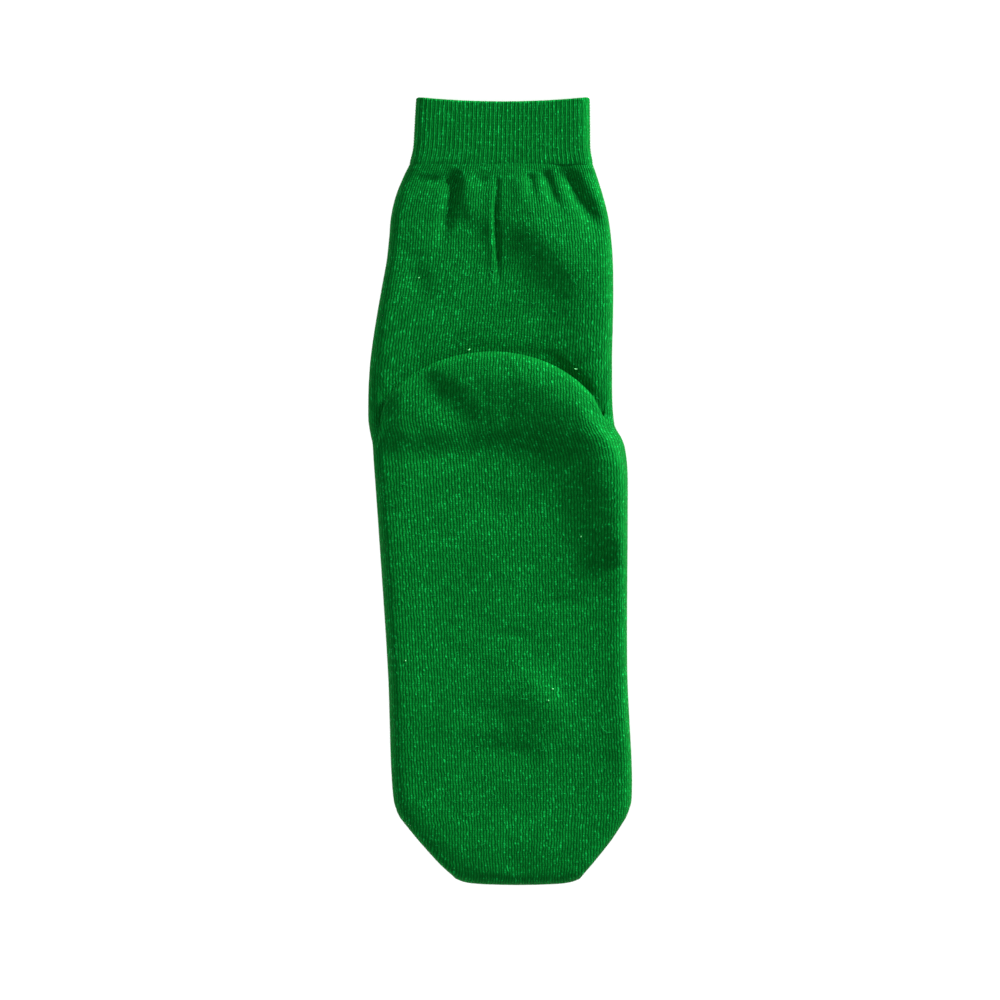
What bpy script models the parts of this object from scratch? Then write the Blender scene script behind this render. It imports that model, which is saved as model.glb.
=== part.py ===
"""A plain knitted crew sock, empty and slack, lying on its instep with its sole turned up.

The cuff points along +Y and the toe along -Y. The instep and shin lie flat on the floor, z = 0, and the
folds at the two sides come down to it. The heel pouch is folded up over the back of the leg, as the heel
of a flat sock lies, so the back layer runs toe, sole, rolled heel edge, back under the heel to the ankle
crease, and then up the leg. Metres, +Z up.
"""

import math
from collections import namedtuple

import bmesh
import bpy

# Lengths along the sock
FOOT_LENGTH = 0.2245
TOE_LENGTH = 0.0385
LEG_LENGTH = 0.0785
CUFF_LENGTH = 0.0277
CUFF_DIP = 0.0019
TOE_BOW = 0.0027
HEEL_OVERLAP = 0.0357
HEEL_DROP = 0.0410

# Widths of the flat sock
TOE_END_WIDTH = 0.0525
FOOT_WIDTH = 0.1008
HEEL_WIDTH = 0.1067
ANKLE_WIDTH = 0.1020
CALF_WIDTH = 0.0920
CUFF_WIDTH = 0.0745

# Heights of the slack layers over the floor, outside
TOE_HEIGHT = 0.0100
FOOT_HEIGHT = 0.0105
ANKLE_HEIGHT = 0.0084
LEG_HEIGHT = 0.0097
CUFF_HEIGHT = 0.0100

# The fabric
WALL = 0.0014
CUFF_WALL = 0.0020
EDGE_RADIUS = 0.0022
HEEL_POCKET = 0.0030
LAYER_GAP = 0.0004
FOLD_RISE = 0.0013
FOLD_SPREAD = 0.0080

# The seam that closes the toe, under the instep side
SEAM_SETBACK = 0.0290
SEAM_THREAD = 0.0006
SEAM_CLEARANCE = 0.0003

AROUND = 40
EDGE_POWER = 5.0
SIDE_FADE = 0.78
NO_FOLD = 0.0

TOTAL_LENGTH = FOOT_LENGTH + LEG_LENGTH + CUFF_LENGTH
HEEL_SIDE = FOOT_LENGTH - HEEL_DROP
TUCK_HEIGHT = ANKLE_HEIGHT + LAYER_GAP
HEEL_HEIGHT = TUCK_HEIGHT + HEEL_POCKET + 2 * WALL
GROOVE_DEPTH = SEAM_THREAD + SEAM_CLEARANCE
GROOVE_HALF = SEAM_THREAD / 2 + SEAM_CLEARANCE

ZONES = {
    "toe": (0.0, TOE_LENGTH),
    "foot": (TOE_LENGTH, HEEL_SIDE),
    "ankle": (HEEL_SIDE, FOOT_LENGTH),
    "leg": (FOOT_LENGTH, FOOT_LENGTH + LEG_LENGTH),
    "cuff": (FOOT_LENGTH + LEG_LENGTH, TOTAL_LENGTH),
}

# The outline from above: where along a zone, the width there, and how far the middle leans to +X
Width = namedtuple("Width", "zone share width lean")
OUTLINE = (
    Width("toe", 0.00, 0.96 * TOE_END_WIDTH, 0.072 * FOOT_WIDTH),
    Width("toe", 0.07, 1.00 * TOE_END_WIDTH, 0.072 * FOOT_WIDTH),
    Width("toe", 0.22, 0.63 * FOOT_WIDTH, 0.065 * FOOT_WIDTH),
    Width("toe", 0.48, 0.80 * FOOT_WIDTH, 0.060 * FOOT_WIDTH),
    Width("toe", 0.74, 0.945 * FOOT_WIDTH, 0.052 * FOOT_WIDTH),
    Width("toe", 1.00, 1.00 * FOOT_WIDTH, 0.050 * FOOT_WIDTH),
    Width("foot", 0.35, 1.00 * FOOT_WIDTH, 0.030 * FOOT_WIDTH),
    Width("foot", 0.74, 0.98 * HEEL_WIDTH, 0.012 * FOOT_WIDTH),
    Width("foot", 0.96, 1.00 * HEEL_WIDTH, 0.000 * FOOT_WIDTH),
    Width("ankle", 0.08, 0.99 * HEEL_WIDTH, -0.012 * FOOT_WIDTH),
    Width("ankle", 0.26, 0.97 * HEEL_WIDTH, -0.038 * FOOT_WIDTH),
    Width("ankle", 0.85, 1.00 * ANKLE_WIDTH, -0.040 * FOOT_WIDTH),
    Width("leg", 0.24, 0.97 * ANKLE_WIDTH, -0.020 * FOOT_WIDTH),
    Width("leg", 0.52, 1.03 * CALF_WIDTH, -0.002 * FOOT_WIDTH),
    Width("leg", 0.74, 0.99 * CALF_WIDTH, -0.004 * FOOT_WIDTH),
    Width("leg", 0.87, 0.93 * CALF_WIDTH, -0.004 * FOOT_WIDTH),
    Width("leg", 0.99, 1.05 * CUFF_WIDTH, 0.002 * FOOT_WIDTH),
    Width("cuff", 0.10, 1.01 * CUFF_WIDTH, 0.004 * FOOT_WIDTH),
    Width("cuff", 1.00, 0.98 * CUFF_WIDTH, 0.010 * FOOT_WIDTH),
)

# Courses of the knit, toe to cuff. The floor side and the two edges lie at zone and share. In the back
# layer, reach is how far the course has gone from the ankle crease to the heel's edge, turn how far it
# stands back from that edge in units of the edge's own radius, and shear how much of this it follows.
Course = namedtuple("Course", "name layer zone share reach turn shear height")
TOE_COURSES = (
    Course("toe end", "sole", "toe", 0.00, 0, 0, NO_FOLD, TOE_HEIGHT),
    Course("toe edge", "sole", "toe", 0.015, 0, 0, NO_FOLD, TOE_HEIGHT),
    Course("toe shoulder", "sole", "toe", 0.06, 0, 0, NO_FOLD, TOE_HEIGHT),
    Course("toe rise", "sole", "toe", 0.14, 0, 0, NO_FOLD, TOE_HEIGHT),
    Course("toe crown", "sole", "toe", 0.27, 0, 0, NO_FOLD, TOE_HEIGHT),
    Course("toe middle", "sole", "toe", 0.46, 0, 0, NO_FOLD, TOE_HEIGHT),
)
FOOT_COURSES = (
    Course("toe root", "sole", "toe", 0.92, 0, 0, NO_FOLD, TOE_HEIGHT),
    Course("ball", "sole", "foot", 0.08, 0, 0, NO_FOLD, 0.97 * FOOT_HEIGHT),
    Course("ball", "sole", "foot", 0.20, 0, 0, NO_FOLD, 1.00 * FOOT_HEIGHT),
    Course("sole", "sole", "foot", 0.32, 0, 0, NO_FOLD, 1.00 * FOOT_HEIGHT),
    Course("sole", "sole", "foot", 0.44, 0, 0, NO_FOLD, 0.98 * FOOT_HEIGHT),
    Course("sole", "sole", "foot", 0.56, 0, 0, NO_FOLD, 0.98 * FOOT_HEIGHT),
    Course("sole", "sole", "foot", 0.68, 0, 0, NO_FOLD, 1.00 * FOOT_HEIGHT),
    Course("sole", "sole", "foot", 0.79, -0.95, 0, 0.5, 1.00 * FOOT_HEIGHT),
    Course("before the heel", "sole", "foot", 0.88, -0.56, 0, 1, 1.00 * FOOT_HEIGHT),
    Course("foot of the step", "sole", "foot", 0.93, -0.20, 0, 1, 1.02 * FOOT_HEIGHT),
    Course("head of the step", "sole", "foot", 0.955, 0.08, 0, 1, 0.90 * HEEL_HEIGHT),
    Course("heel", "sole", "foot", 0.970, 0.30, 0, 1, 0.92 * HEEL_HEIGHT),
    Course("heel", "sole", "foot", 0.982, 0.54, 0, 1, 0.94 * HEEL_HEIGHT),
    Course("heel roll", "sole", "foot", 0.990, 0.76, 0, 1, 0.99 * HEEL_HEIGHT),
)
LEG_COURSES = (
    Course("under the heel", "tuck", "ankle", 0.16, 0.62, 0, 1, TUCK_HEIGHT),
    Course("under the heel", "tuck", "ankle", 0.29, 0.32, 0, 1, TUCK_HEIGHT),
    Course("crease", "tuck", "ankle", 0.41, 0.06, 0, 1, TUCK_HEIGHT),
    Course("crease", "tuck", "ankle", 0.49, 0.00, 0, 1, ANKLE_HEIGHT + LAYER_GAP / 2),
    Course("crease", "leg", "ankle", 0.57, 0.06, 0, 1, ANKLE_HEIGHT),
    Course("ankle", "leg", "ankle", 0.68, 0.36, 0, 1, ANKLE_HEIGHT),
    Course("ankle", "leg", "ankle", 0.81, 0.68, 0, 1, ANKLE_HEIGHT),
    Course("ankle", "leg", "ankle", 0.94, 1.00, 0, 1, ANKLE_HEIGHT),
    Course("leg", "leg", "leg", 0.08, 1.24, 0, 0.6, 0.97 * LEG_HEIGHT),
    Course("leg", "leg", "leg", 0.22, 0, 0, NO_FOLD, 1.00 * LEG_HEIGHT),
    Course("leg", "leg", "leg", 0.36, 0, 0, NO_FOLD, 1.02 * LEG_HEIGHT),
    Course("leg", "leg", "leg", 0.49, 0, 0, NO_FOLD, 1.02 * LEG_HEIGHT),
    Course("leg", "leg", "leg", 0.61, 0, 0, NO_FOLD, 1.02 * LEG_HEIGHT),
    Course("leg", "leg", "leg", 0.73, 0, 0, NO_FOLD, 1.02 * LEG_HEIGHT),
    Course("gathers", "leg", "leg", 0.84, 0, 0, NO_FOLD, 1.02 * LEG_HEIGHT),
    Course("gathers", "leg", "leg", 0.93, 0, 0, NO_FOLD, 0.98 * LEG_HEIGHT),
    Course("below the cuff", "leg", "leg", 0.985, 0, 0, NO_FOLD, 0.93 * CUFF_HEIGHT),
    Course("cuff step", "cuff", "cuff", 0.03, 0, 0, NO_FOLD, 1.00 * CUFF_HEIGHT),
    Course("cuff", "cuff", "cuff", 0.25, 0, 0, NO_FOLD, 1.00 * CUFF_HEIGHT),
    Course("cuff", "cuff", "cuff", 0.50, 0, 0, NO_FOLD, 1.00 * CUFF_HEIGHT),
    Course("cuff", "cuff", "cuff", 0.75, 0, 0, NO_FOLD, 1.00 * CUFF_HEIGHT),
    Course("cuff rim", "cuff", "cuff", 1.00, 0, 0, NO_FOLD, 1.00 * CUFF_HEIGHT),
)

# The heel's rolled edge, as a half turn from its top to its underside. Its slant is held to that of the
# arc's least share, because an ellipse runs straight up at its ends.
EDGE_TURNS = (90, 45, 0, -45, -90)
EDGE_ARC_LEAST = 0.3
EDGE_TOP_SHARE = 0.994
EDGE_UNDER_SHARE = 0.07

# Main folds of the back layer: soft ridges, or troughs where rise is below 0. Along is a share of the
# whole length from the toe, across a share of the half width, rise and spread of the named fold sizes.
Fold = namedtuple("Fold", "name layer along across to_along to_across rise spread")
FOLDS = (
    Fold("leg ridge, upper", "leg", 0.853, 0.04, 0.757, 0.49, 0.9, 1.0),
    Fold("leg ridge, lower", "leg", 0.757, 0.49, 0.650, 0.80, 0.7, 1.0),
    Fold("pleat below the cuff", "leg", 0.895, -0.06, 0.790, -0.03, 0.6, 0.7),
    Fold("hollow left of the leg", "leg", 0.780, -0.60, 0.720, -0.30, -0.5, 1.6),
    Fold("heel dimple", "sole", 0.650, -0.46, 0.606, -0.12, -0.6, 0.9),
    Fold("heel side wrinkle", "sole", 0.541, 0.60, 0.465, 0.76, -0.6, 0.9),
    Fold("sole side wrinkle", "sole", 0.465, 0.76, 0.360, 0.84, -0.4, 0.9),
    Fold("toe sag", "sole", 0.090, -0.20, 0.080, 0.25, -0.5, 1.6),
)


def station(zone, share):
    """The distance from the toe end, for a share of one zone."""
    low, high = ZONES[zone]
    return low + share * (high - low)


def smooth(value, low=0.0, high=1.0):
    """0 up to low and 1 from high on, with an even rise between."""
    share = min(1.0, max(0.0, (value - low) / (high - low)))
    return share * share * (3.0 - 2.0 * share)


def curve_at(place, places, values):
    """A smooth curve through the values, read at one place and level beyond the ends."""
    place = min(max(place, places[0]), places[-1])
    last = len(places) - 1
    index = max(i for i in range(last) if places[i] <= place)
    slopes = []
    for i in (index, index + 1):
        before, after = max(i - 1, 0), min(i + 1, last)
        slopes.append((values[after] - values[before]) / (places[after] - places[before]))
    span = places[index + 1] - places[index]
    t = (place - places[index]) / span
    rise = values[index + 1] - values[index]
    bend = (slopes[0] * span - rise) * (1.0 - t) - (slopes[1] * span - rise) * t
    return values[index] + rise * t + t * (1.0 - t) * bend


def outline_at(along):
    """The middle and the half width of the flat sock at one distance from the toe end."""
    stations = [station(row.zone, row.share) for row in OUTLINE]
    middle = curve_at(along, stations, [row.lean for row in OUTLINE])
    half = curve_at(along, stations, [row.width / 2 for row in OUTLINE])
    return middle, half


def crown(across):
    """The share of its full height that the back layer has at a share of the half width."""
    return math.sqrt(max(0.0, 1.0 - abs(across) ** EDGE_POWER))


def heel_arc(across):
    """The heel's edge from above, half an ellipse: 1 at the middle and 0 at the sides."""
    return math.sqrt(max(0.0, 1.0 - across * across))


def heel_edge_radius(across):
    """The radius of the heel's rolled edge, wider where the edge runs askew to the courses."""
    radius = (HEEL_HEIGHT - TUCK_HEIGHT) / 2 * crown(across)
    slope = HEEL_DROP / (HEEL_WIDTH / 2) * across / max(heel_arc(across), EDGE_ARC_LEAST)
    return radius * math.hypot(1.0, slope)


def back_along(course, across):
    """How far from the toe end a course lies in the back layer."""
    front = station(course.zone, course.share)
    arc = heel_arc(across)
    crease = HEEL_SIDE + (HEEL_DROP - HEEL_OVERLAP) * arc
    overlap = HEEL_OVERLAP * (arc if course.reach > 0 else 1.0)
    folded = crease + course.reach * overlap - course.turn * heel_edge_radius(across)
    share = course.shear * (1.0 - smooth(abs(across), SIDE_FADE, 1.0))
    return front + share * (folded - front) + toe_bow(course, across)


def fold_relief(course, along, across):
    """The rise of the main folds at one point of the back layer."""
    half = FOOT_WIDTH / 2
    rise = 0.0
    for fold in FOLDS:
        if fold.layer != course.layer:
            continue
        start = (fold.along * TOTAL_LENGTH, fold.across * half)
        run = (fold.to_along * TOTAL_LENGTH - start[0], fold.to_across * half - start[1])
        offset = (along - start[0], across * half - start[1])
        share = (offset[0] * run[0] + offset[1] * run[1]) / (run[0] ** 2 + run[1] ** 2)
        share = min(1.0, max(0.0, share))
        away = math.hypot(offset[0] - share * run[0], offset[1] - share * run[1])
        rise += fold.rise * FOLD_RISE * math.exp(-((away / (fold.spread * FOLD_SPREAD)) ** 2))
    if course.layer == "leg":
        edge = HEEL_SIDE + HEEL_DROP * heel_arc(across)
        rise *= smooth(along - edge, 0.0, FOLD_SPREAD)
    return rise * crown(across)


def toe_bow(course, across):
    """The toe end bows out at its middle: how far its corners stand back."""
    return TOE_BOW * across * across * (1.0 - course.share) if course.zone == "toe" else 0.0


def back_point(course, across):
    """A point of the back layer: sole, heel, tuck, leg or cuff."""
    front = station(course.zone, course.share)
    along = back_along(course, across)
    middle, half = outline_at(along)
    toe_rise = crown(max(0.0, 1.0 - front / (FOOT_WIDTH / 2)))
    height = EDGE_RADIUS + (course.height - EDGE_RADIUS) * crown(across) * toe_rise
    height += fold_relief(course, along, across)
    return middle + half * across, along, height


def floor_point(course, across):
    """A point of the instep or shin, flat on the floor and rounded up to the side folds."""
    front = station(course.zone, course.share)
    along = front + toe_bow(course, across)
    middle, half = outline_at(along)
    side = max(0.0, 1.0 - (half - abs(half * across)) / EDGE_RADIUS)
    end = max(0.0, 1.0 - front / EDGE_RADIUS)
    turn = min(1.0, math.hypot(side, end))
    height = EDGE_RADIUS * (1.0 - math.sqrt(1.0 - turn * turn))
    if course.name == "seam groove":
        height = max(height, GROOVE_DEPTH)
    return middle + half * across, along, height


def knit_point(course, column):
    """The outer surface: column 0 is the -X side fold, then over the back and home along the floor."""
    angle = 2 * math.pi * column / AROUND
    across = -math.cos(angle)
    over_the_back = 0 < column % AROUND < AROUND / 2
    point = back_point if over_the_back else floor_point
    x, along, z = point(course, across)
    if course.layer == "cuff":
        along -= CUFF_DIP * course.share * (1.0 - across * across)
    return x, along - TOTAL_LENGTH / 2, z


def widest_middle(courses):
    """The middle of the whole outline, which stands over the origin."""
    sides = [knit_point(course, column)[0] for course in courses for column in (0, AROUND // 2)]
    return (min(sides) + max(sides)) / 2


def seam_courses():
    """The courses that form the groove for the toe seam."""
    offsets = (
        (-GROOVE_HALF - GROOVE_DEPTH, "toe"),
        (-GROOVE_HALF, "seam groove"),
        (GROOVE_HALF, "seam groove"),
        (GROOVE_HALF + GROOVE_DEPTH, "toe"),
    )
    return [
        Course(name, "sole", "toe", (SEAM_SETBACK + offset) / TOE_LENGTH, 0, 0, NO_FOLD, TOE_HEIGHT)
        for offset, name in offsets
    ]


def heel_edge_courses():
    """The half turn of the heel's edge, from the sole round to the tuck under it."""
    courses = []
    for degrees in EDGE_TURNS:
        angle = math.radians(degrees)
        turn = 1.0 - math.cos(angle)
        height = TUCK_HEIGHT + (HEEL_HEIGHT - TUCK_HEIGHT) * (0.5 + 0.5 * math.sin(angle))
        if degrees >= 0:
            zone, share = "foot", 1.0 - turn * (1.0 - EDGE_TOP_SHARE)
        else:
            zone, share = "ankle", turn * EDGE_UNDER_SHARE
        courses.append(Course("heel edge", "tuck", zone, share, 1, turn, 1, height))
    return courses


def knit_courses():
    return [*TOE_COURSES, *seam_courses(), *FOOT_COURSES, *heel_edge_courses(), *LEG_COURSES]


def principled(name, colour, roughness):
    material = bpy.data.materials.new(name)
    material.use_nodes = True
    shader = material.node_tree.nodes["Principled BSDF"]
    shader.inputs["Base Color"].default_value = (*colour, 1.0)
    shader.inputs["Roughness"].default_value = roughness
    shader.inputs["Metallic"].default_value = 0.0
    return material


def make_knit_body(courses, shift):
    """Cuff, leg, heel, foot and toe, knitted whole: one wall, thicker at the cuff, open at the cuff."""
    bm = bmesh.new()
    bmesh.ops.create_grid(bm, x_segments=AROUND, y_segments=len(courses) - 1, size=0.5)
    weights = bm.verts.layers.deform.verify()
    for vert in bm.verts:
        column = round((vert.co.x + 0.5) * AROUND)
        course = courses[round((vert.co.y + 0.5) * (len(courses) - 1))]
        vert[weights][0] = 1.0 if course.layer == "cuff" else WALL / CUFF_WALL
        x, y, z = knit_point(course, column)
        vert.co = (x - shift, y, z)
    bmesh.ops.remove_doubles(bm, verts=bm.verts, dist=1e-6)
    mesh = bpy.data.meshes.new("knit_body")
    bm.to_mesh(mesh)
    bm.free()
    body = bpy.data.objects.new("knit_body", mesh)
    body.vertex_groups.new(name="wall")
    wall = body.modifiers.new("wall", "SOLIDIFY")
    wall.thickness = CUFF_WALL
    wall.offset = -1.0
    wall.vertex_group = "wall"
    mesh.shade_smooth()
    mesh.materials.append(principled("green_knit", (0.003, 0.152, 0.021), 0.9))
    return body


def make_toe_seam(shift):
    """The thread that links the toe to the instep, lying in its groove from side to side."""
    middle, half = outline_at(SEAM_SETBACK)
    reach = half - 2 * EDGE_RADIUS
    curve = bpy.data.curves.new("toe_seam", "CURVE")
    curve.dimensions = "3D"
    curve.bevel_depth = SEAM_THREAD / 2
    curve.bevel_resolution = 2
    curve.use_fill_caps = True
    spline = curve.splines.new("POLY")
    spline.points.add(1)
    for point, side in zip(spline.points, (-1, 1)):
        point.co = (side * reach, 0, 0, 1)
    seam = bpy.data.objects.new("toe_seam", curve)
    seam.location = (middle - shift, SEAM_SETBACK - TOTAL_LENGTH / 2, SEAM_THREAD / 2)
    curve.materials.append(principled("seam_thread", (0.003, 0.120, 0.018), 0.8))
    return seam


def main():
    for old in list(bpy.data.objects):
        bpy.data.objects.remove(old, do_unlink=True)
    sock = bpy.data.collections.new("crew_sock")
    bpy.context.scene.collection.children.link(sock)
    courses = knit_courses()
    shift = widest_middle(courses)
    for piece in (make_knit_body(courses, shift), make_toe_seam(shift)):
        sock.objects.link(piece)


main()
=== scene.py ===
"""The looks of a plain knitted crew sock that lies flat on its instep, sole up, heel folded over the leg.

The knit is drawn again from the same courses as the solid sock, with a row of points for about every
stitch. Its folds are given in millimetres on the plan of the sock. The rib cuff, the linking
stitches of the toe and the loose fibres are pieces of their own. Metres, +Z up, cuff towards +Y.
"""

import math
import random
from collections import namedtuple

import bmesh
import bpy
import numpy as np
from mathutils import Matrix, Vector, noise
from mathutils.bvhtree import BVHTree


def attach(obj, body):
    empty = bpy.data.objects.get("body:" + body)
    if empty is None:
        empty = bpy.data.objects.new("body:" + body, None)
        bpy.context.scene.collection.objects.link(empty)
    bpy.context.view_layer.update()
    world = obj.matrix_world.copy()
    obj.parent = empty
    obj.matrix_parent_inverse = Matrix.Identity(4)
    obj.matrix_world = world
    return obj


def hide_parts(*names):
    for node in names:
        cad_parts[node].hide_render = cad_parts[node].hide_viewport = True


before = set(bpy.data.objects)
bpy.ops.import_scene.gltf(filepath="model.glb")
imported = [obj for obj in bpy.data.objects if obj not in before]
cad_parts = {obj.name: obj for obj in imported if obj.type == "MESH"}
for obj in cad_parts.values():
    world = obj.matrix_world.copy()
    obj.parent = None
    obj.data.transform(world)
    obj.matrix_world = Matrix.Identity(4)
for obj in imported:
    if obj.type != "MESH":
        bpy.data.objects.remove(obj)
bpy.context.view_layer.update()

MM = 0.001

# Sizes of the sock, as the solid has them
FOOT_LENGTH = 0.2245
TOE_LENGTH = 0.0385
LEG_LENGTH = 0.0785
CUFF_LENGTH = 0.0277
CUFF_DIP = 0.0019
TOE_BOW = 0.0027
HEEL_OVERLAP = 0.0357
HEEL_DROP = 0.0410
TOE_END_WIDTH = 0.0525
FOOT_WIDTH = 0.1008
HEEL_WIDTH = 0.1067
ANKLE_WIDTH = 0.1020
CALF_WIDTH = 0.0920
CUFF_WIDTH = 0.0745
TOE_HEIGHT = 0.0100
FOOT_HEIGHT = 0.0105
ANKLE_HEIGHT = 0.0084
LEG_HEIGHT = 0.0097
CUFF_HEIGHT = 0.0100
WALL = 0.0014
CUFF_WALL = 0.0020
EDGE_RADIUS = 0.0022
HEEL_POCKET = 0.0030
LAYER_GAP = 0.0004
SEAM_SETBACK = 0.0290
SEAM_THREAD = 0.0006
SEAM_CLEARANCE = 0.0003

TOTAL_LENGTH = FOOT_LENGTH + LEG_LENGTH + CUFF_LENGTH
HEEL_SIDE = FOOT_LENGTH - HEEL_DROP
TUCK_HEIGHT = ANKLE_HEIGHT + LAYER_GAP
HEEL_HEIGHT = TUCK_HEIGHT + HEEL_POCKET + 2 * WALL
GROOVE_DEPTH = SEAM_THREAD + SEAM_CLEARANCE
GROOVE_HALF = SEAM_THREAD / 2 + SEAM_CLEARANCE

# The knit's sides stand squarer than the solid's, because its light comes from low down
EDGE_POWER = 28.0

# From this share of the half width outwards the folded heel joins the side folds, and its rim's radius
# stops growing where the heel's arc is lower than its least share
SIDE_FADE = 0.84
EDGE_ARC_LEAST = 0.6

# The toe's end is nearly straight, and most of its bow lies in the two soft corners
TOE_CORNER_SHARE = 0.62
TOE_CORNER_POWER = 10

# The folded heel's right end lies further up the leg than its left end. The lift starts at this share of
# the half width and fades over this much of the sock's length
HEEL_SIDE_LIFT = 0.0120
HEEL_SIDE_LIFT_SPREAD = 0.030
HEEL_SIDE_LIFT_FROM = 0.5

# Towards its two ends the folded heel flattens to this share of its thickness, from this share of the
# half width outwards
HEEL_END_SHARE = 0.30
HEEL_END_FADE = 0.70

# The knit: wales run along the sock, half of them over its back and side folds, and courses run across it
WALES = 184
HALF_WALES = WALES // 2
COURSE_PITCH = 0.00095

# The nets that carry it: columns over the back, columns along the floor, and the pitch of rows
Net = namedtuple("Net", "over under pitch")
KNIT_NET = Net(200, 48, 0.00125)
LINING_NET = Net(46, 30, 0.0026)
RIB_NET = Net(276, 276, 0.00058)

# The ribs: their rise, the share of it that is lost between two stitches, how deep they start in the leg
# that they lap, and the length over which they come up
RIB_RISE = 0.00030
RIB_STITCH_SHARE = 0.50
RIB_SINK = 0.00030
RIB_FADE = 0.0016
RIB_COURSE_PITCH = 0.00116

# The leg's knit goes on under the cuff for this length, and the cuff's lip is rolled
CUFF_LAP = 0.0018
LIP_ROWS = 6
LIP_FULLNESS = 0.45

ZONES = {
    "toe": (0.0, TOE_LENGTH),
    "foot": (TOE_LENGTH, HEEL_SIDE),
    "ankle": (HEEL_SIDE, FOOT_LENGTH),
    "leg": (FOOT_LENGTH, FOOT_LENGTH + LEG_LENGTH),
    "cuff": (FOOT_LENGTH + LEG_LENGTH, TOTAL_LENGTH),
}

Width = namedtuple("Width", "zone share width lean")
OUTLINE = (
    Width("toe", 0.00, 0.96 * TOE_END_WIDTH, 0.072 * FOOT_WIDTH),
    Width("toe", 0.07, 1.00 * TOE_END_WIDTH, 0.072 * FOOT_WIDTH),
    Width("toe", 0.22, 0.63 * FOOT_WIDTH, 0.065 * FOOT_WIDTH),
    Width("toe", 0.48, 0.80 * FOOT_WIDTH, 0.060 * FOOT_WIDTH),
    Width("toe", 0.74, 0.945 * FOOT_WIDTH, 0.052 * FOOT_WIDTH),
    Width("toe", 1.00, 1.00 * FOOT_WIDTH, 0.050 * FOOT_WIDTH),
    Width("foot", 0.35, 1.00 * FOOT_WIDTH, 0.030 * FOOT_WIDTH),
    Width("foot", 0.74, 0.98 * HEEL_WIDTH, 0.012 * FOOT_WIDTH),
    Width("foot", 0.96, 1.00 * HEEL_WIDTH, 0.000 * FOOT_WIDTH),
    Width("ankle", 0.08, 0.99 * HEEL_WIDTH, -0.012 * FOOT_WIDTH),
    Width("ankle", 0.26, 0.97 * HEEL_WIDTH, -0.038 * FOOT_WIDTH),
    Width("ankle", 0.85, 1.00 * ANKLE_WIDTH, -0.040 * FOOT_WIDTH),
    Width("leg", 0.24, 0.97 * ANKLE_WIDTH, -0.020 * FOOT_WIDTH),
    Width("leg", 0.52, 1.03 * CALF_WIDTH, -0.002 * FOOT_WIDTH),
    Width("leg", 0.74, 0.99 * CALF_WIDTH, -0.004 * FOOT_WIDTH),
    Width("leg", 0.87, 0.93 * CALF_WIDTH, -0.004 * FOOT_WIDTH),
    Width("leg", 0.99, 1.05 * CUFF_WIDTH, 0.002 * FOOT_WIDTH),
    Width("cuff", 0.10, 1.01 * CUFF_WIDTH, 0.004 * FOOT_WIDTH),
    Width("cuff", 1.00, 0.98 * CUFF_WIDTH, 0.010 * FOOT_WIDTH),
)

# Courses of the back layer. Reach is the share of the heel's overlap that a course is folded over by, turn
# how far its rim has turned under, and shear how much of the heel's arc it follows.
Course = namedtuple("Course", "name layer zone share reach turn shear height")
TOE_COURSES = [
    Course("toe", "sole", "toe", share, 0, 0, 0, TOE_HEIGHT) for share in (0.0, 0.015, 0.06, 0.14, 0.27, 0.46)
]
SEAM_COURSES = [
    Course(name, "sole", "toe", (SEAM_SETBACK + offset) / TOE_LENGTH, 0, 0, 0, TOE_HEIGHT)
    for offset, name in (
        (-GROOVE_HALF - GROOVE_DEPTH, "toe"),
        (-GROOVE_HALF, "seam groove"),
        (GROOVE_HALF, "seam groove"),
        (GROOVE_HALF + GROOVE_DEPTH, "toe"),
    )
]
FOOT_COURSES = [
    Course("toe root", "sole", "toe", 0.92, 0, 0, 0, TOE_HEIGHT),
    Course("ball", "sole", "foot", 0.08, 0, 0, 0, 0.97 * FOOT_HEIGHT),
    Course("ball", "sole", "foot", 0.20, 0, 0, 0, 1.00 * FOOT_HEIGHT),
    Course("sole", "sole", "foot", 0.32, 0, 0, 0, 1.00 * FOOT_HEIGHT),
    Course("sole", "sole", "foot", 0.44, 0, 0, 0, 0.98 * FOOT_HEIGHT),
    Course("sole", "sole", "foot", 0.56, 0, 0, 0, 0.98 * FOOT_HEIGHT),
    Course("sole", "sole", "foot", 0.68, 0, 0, 0, 1.00 * FOOT_HEIGHT),
    Course("sole", "sole", "foot", 0.79, -0.95, 0, 0.5, 1.00 * FOOT_HEIGHT),
    Course("before the heel", "sole", "foot", 0.88, -0.56, 0, 1, 1.00 * FOOT_HEIGHT),
    Course("foot of the step", "sole", "foot", 0.93, -0.20, 0, 1, 1.02 * FOOT_HEIGHT),
    Course("head of the step", "sole", "foot", 0.955, 0.08, 0, 1, 0.84 * HEEL_HEIGHT),
    Course("heel", "sole", "foot", 0.970, 0.30, 0, 1, 0.88 * HEEL_HEIGHT),
    Course("heel", "sole", "foot", 0.982, 0.54, 0, 1, 0.93 * HEEL_HEIGHT),
    Course("heel roll", "sole", "foot", 0.990, 0.76, 0, 1, 0.99 * HEEL_HEIGHT),
]
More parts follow.
